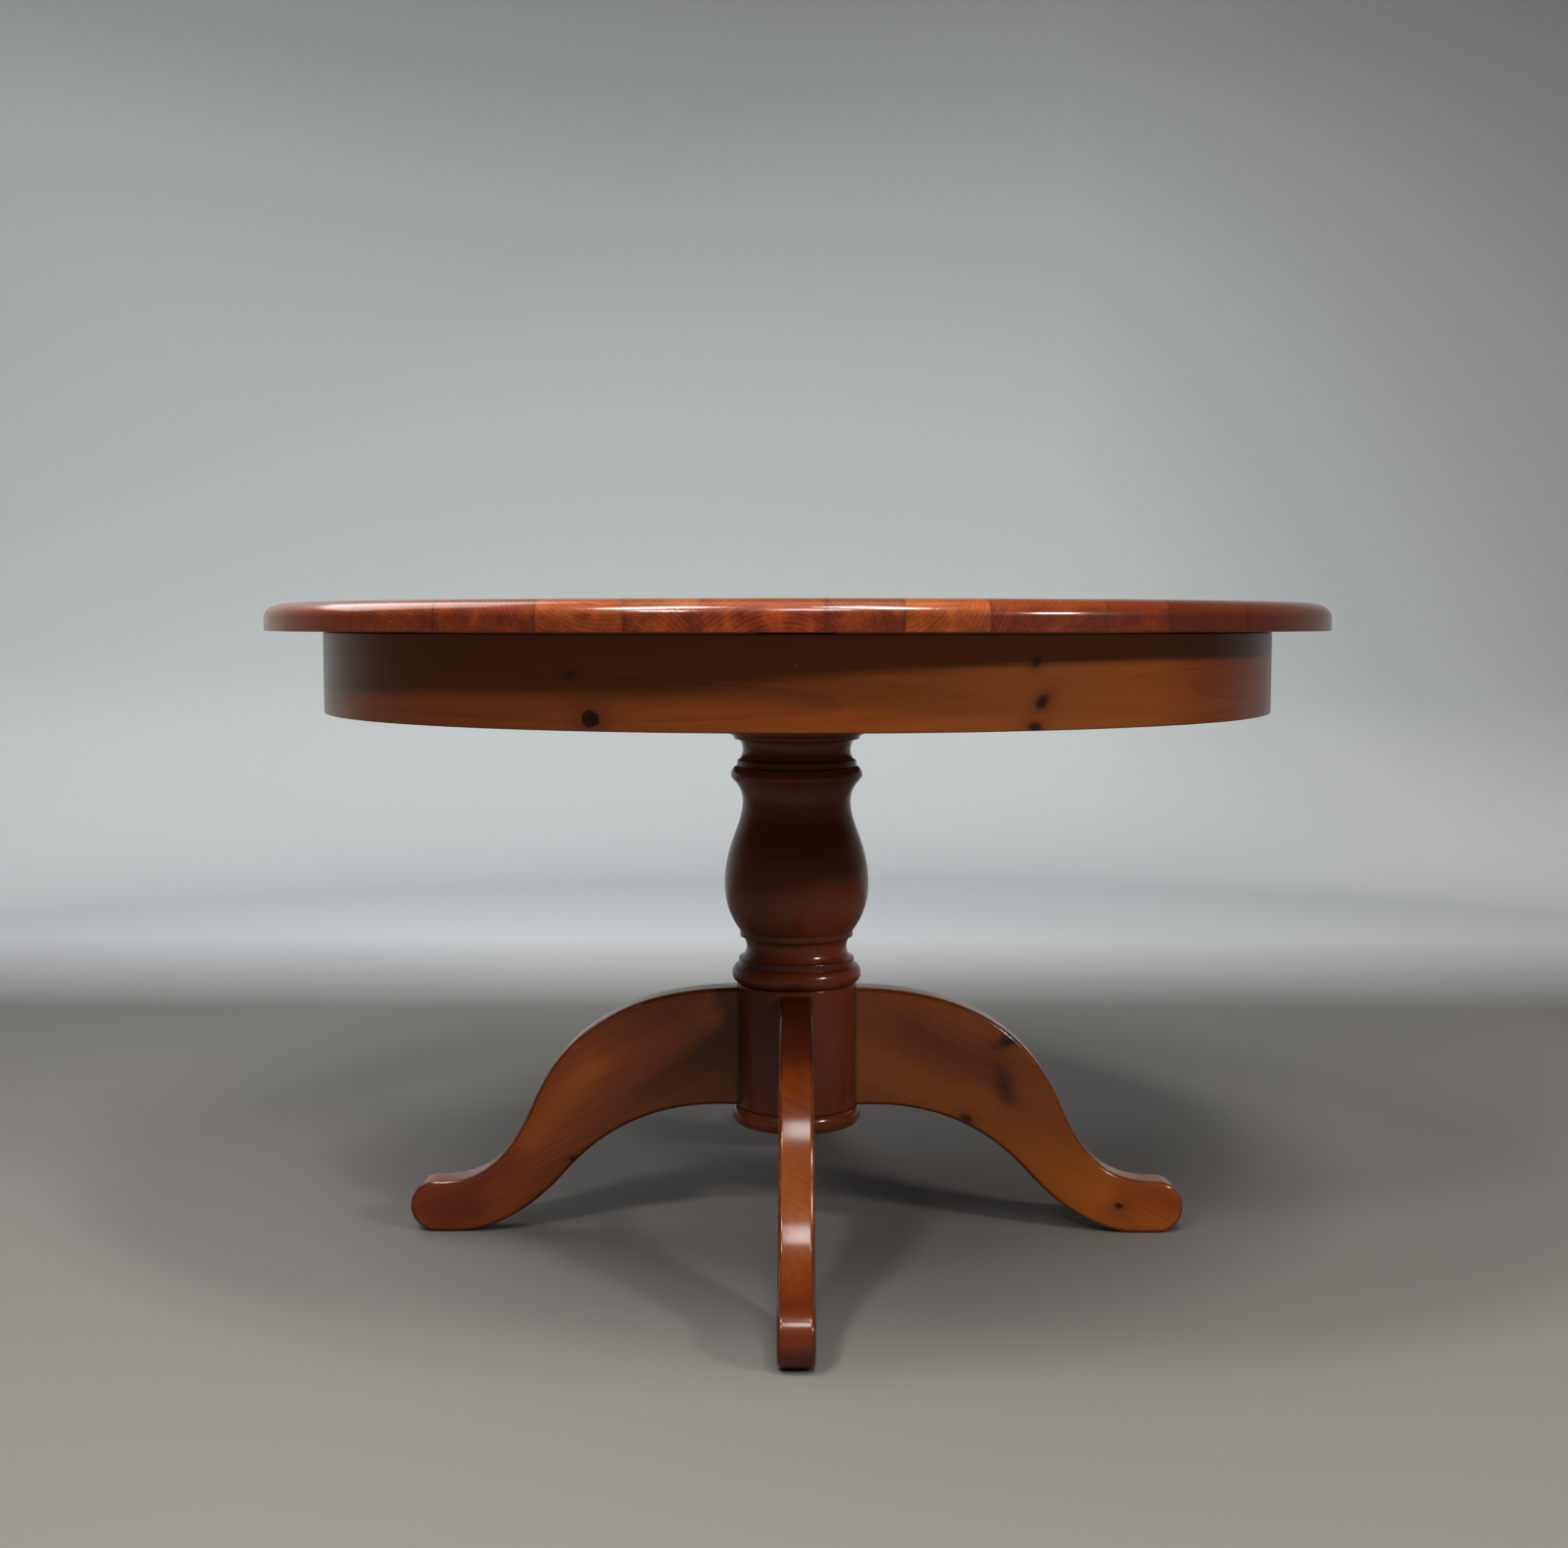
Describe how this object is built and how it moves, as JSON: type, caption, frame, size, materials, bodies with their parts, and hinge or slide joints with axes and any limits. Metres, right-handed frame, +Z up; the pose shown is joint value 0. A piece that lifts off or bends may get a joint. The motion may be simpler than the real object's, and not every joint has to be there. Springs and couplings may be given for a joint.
{
  "type": "round pedestal table",
  "caption": "Round plank-topped dining table with a deep bent apron, on a turned column with S-shaped legs.",
  "frame": {"origin": "on the floor, under the column's axis", "axes": "+Z up along the column; the front leg points to -Y; the boards of the top run along Y"},
  "size_m": [1.1999, 1.2, 0.742],
  "materials": {
    "top_pine": "red-brown stained pine planks under gloss varnish",
    "apron_pine": "golden-brown stained pine under satin varnish, grain running round the ring",
    "turned_pine": "dark brown stained turned pine, satin varnish",
    "leg_pine": "red-brown stained pine board with knots, satin varnish",
    "bare_pine": "unfinished planed pine",
    "beech": "fluted beech dowel, unfinished",
    "zinc_steel": "zinc-plated steel"
  },
  "bodies": {
    "root": {"top_board_01": "top_pine", "top_board_02": "top_pine", "top_board_03": "top_pine", "top_board_04": "top_pine", "top_board_05": "top_pine", "top_board_06": "top_pine", "top_board_07": "top_pine", "top_board_08": "top_pine", "top_board_09": "top_pine", "top_board_10": "top_pine", "top_board_11": "top_pine", "top_board_12": "top_pine", "top_board_13": "top_pine", "top_board_14": "top_pine", "apron_front": "apron_pine", "apron_back": "apron_pine", "apron_splice_left": "bare_pine", "apron_splice_right": "bare_pine", "apron_block_1": "bare_pine", "apron_block_2": "bare_pine", "apron_block_3": "bare_pine", "apron_block_4": "bare_pine", "apron_block_5": "bare_pine", "apron_block_6": "bare_pine", "bearer_front": "bare_pine", "bearer_back": "bare_pine", "head_plate": "bare_pine", "column": "turned_pine", "base_cap": "turned_pine", "leg_front": "leg_pine", "leg_right": "leg_pine", "leg_back": "leg_pine", "leg_left": "leg_pine", "leg_dowels": "beech", "leg_bolts": "zinc_steel", "leg_washers": "zinc_steel", "leg_nuts": "zinc_steel", "base_cap_screws": "zinc_steel", "column_head_screws": "zinc_steel", "plate_bolts": "zinc_steel", "plate_washers": "zinc_steel", "bearer_screws": "zinc_steel", "apron_splice_screws": "zinc_steel", "apron_block_screws": "zinc_steel"}
  },
  "joints": []
}
